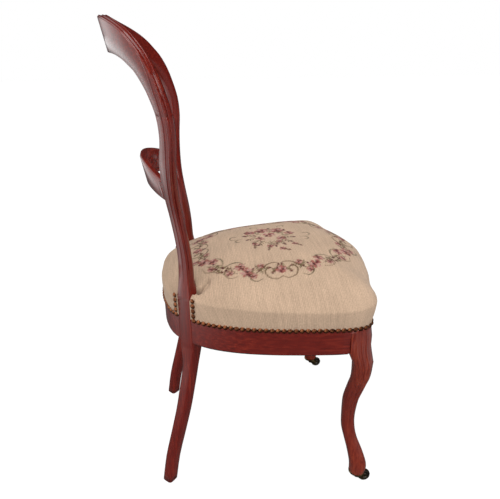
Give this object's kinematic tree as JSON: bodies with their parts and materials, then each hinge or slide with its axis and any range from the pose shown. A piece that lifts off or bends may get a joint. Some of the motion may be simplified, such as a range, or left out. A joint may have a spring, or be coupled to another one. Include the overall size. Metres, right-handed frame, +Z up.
{
  "type": "balloon back dining chair",
  "caption": "Dining chair with a hooped open back, carved mid rail, sprung and close-nailed tapestry seat, swept rear legs and cabriole front legs on castors.",
  "frame": {"origin": "on the floor, under the middle of the whole chair's box, castors trailing to the front", "axes": "+Z up, the chair faces -Y, left parts are at -X as seen by someone who stands in front of the chair"},
  "size_m": [0.4536, 0.4952, 0.9],
  "materials": {
    "mahogany": "french polished mahogany, red-brown, semi-gloss",
    "frame_wood": "french polished mahogany on the show edge, gloss",
    "block_wood": "plain sawn beech",
    "dowel_wood": "plain beech dowel",
    "tapestry": "ribbed wool needlepoint, beige with rose and olive flowers",
    "stuffing": "curled hair and wadding",
    "hessian": "plain hessian",
    "webbing": "woven jute webbing",
    "twine": "waxed hemp twine",
    "dust_cloth": "black cotton lining",
    "spring_wire": "coppered steel wire, dull",
    "antique_brass": "antique brass, dark patina",
    "castor_brass": "aged brass, dull",
    "castor_pin": "dull steel",
    "castor_wheel": "dark cast wheel, dull",
    "blued_tack": "blued steel",
    "screw_steel": "plain steel"
  },
  "bodies": {
    "chair": {"left_back_post": "mahogany", "right_back_post": "mahogany", "crest_rail": "mahogany", "mid_rail": "mahogany", "back_seat_rail": "frame_wood", "left_side_rail": "frame_wood", "right_side_rail": "frame_wood", "front_seat_rail": "frame_wood", "left_front_leg": "mahogany", "right_front_leg": "mahogany", "front_left_corner_block": "block_wood", "front_right_corner_block": "block_wood", "rear_left_corner_block": "block_wood", "rear_right_corner_block": "block_wood", "corner_block_screws": "screw_steel", "crest_dowels": "dowel_wood", "mid_rail_dowels": "dowel_wood", "seat_rail_dowels": "dowel_wood", "webbing_lengthwise": "webbing", "webbing_crosswise": "webbing", "webbing_tacks": "blued_tack", "front_left_spring": "spring_wire", "front_right_spring": "spring_wire", "middle_spring": "spring_wire", "rear_left_spring": "spring_wire", "rear_right_spring": "spring_wire", "spring_twine": "twine", "hessian_sheet": "hessian", "stuffing_pad": "stuffing", "seat_cover": "tapestry", "left_side_nails": "antique_brass", "right_side_nails": "antique_brass", "front_nails": "antique_brass", "back_nails": "antique_brass", "dust_cover": "dust_cloth", "dust_cover_tacks": "blued_tack", "left_castor_plate": "castor_brass", "left_castor_screws": "screw_steel", "right_castor_plate": "castor_brass", "right_castor_screws": "screw_steel"},
    "left_castor_fork": {"left_castor_stem": "castor_pin", "left_castor_horn": "castor_brass", "left_castor_axle": "castor_pin"},
    "right_castor_fork": {"right_castor_stem": "castor_pin", "right_castor_horn": "castor_brass", "right_castor_axle": "castor_pin"},
    "left_castor_roller": {"left_castor_wheel": "castor_wheel"},
    "right_castor_roller": {"right_castor_wheel": "castor_wheel"}
  },
  "joints": [
    {"name": "left_castor_swivel", "type": "hinge", "parent": "chair", "child": "left_castor_fork", "pos_m": [-0.2, -0.20243, 0.03], "axis": [0, 0, 1], "continuous": true},
    {"name": "left_castor_roll", "type": "hinge", "parent": "left_castor_fork", "child": "left_castor_roller", "pos_m": [-0.2, -0.21943, 0.013], "axis": [1, 0, 0], "continuous": true},
    {"name": "right_castor_swivel", "type": "hinge", "parent": "chair", "child": "right_castor_fork", "pos_m": [0.2, -0.20243, 0.03], "axis": [0, 0, 1], "continuous": true},
    {"name": "right_castor_roll", "type": "hinge", "parent": "right_castor_fork", "child": "right_castor_roller", "pos_m": [0.2, -0.21943, 0.013], "axis": [1, 0, 0], "continuous": true}
  ]
}
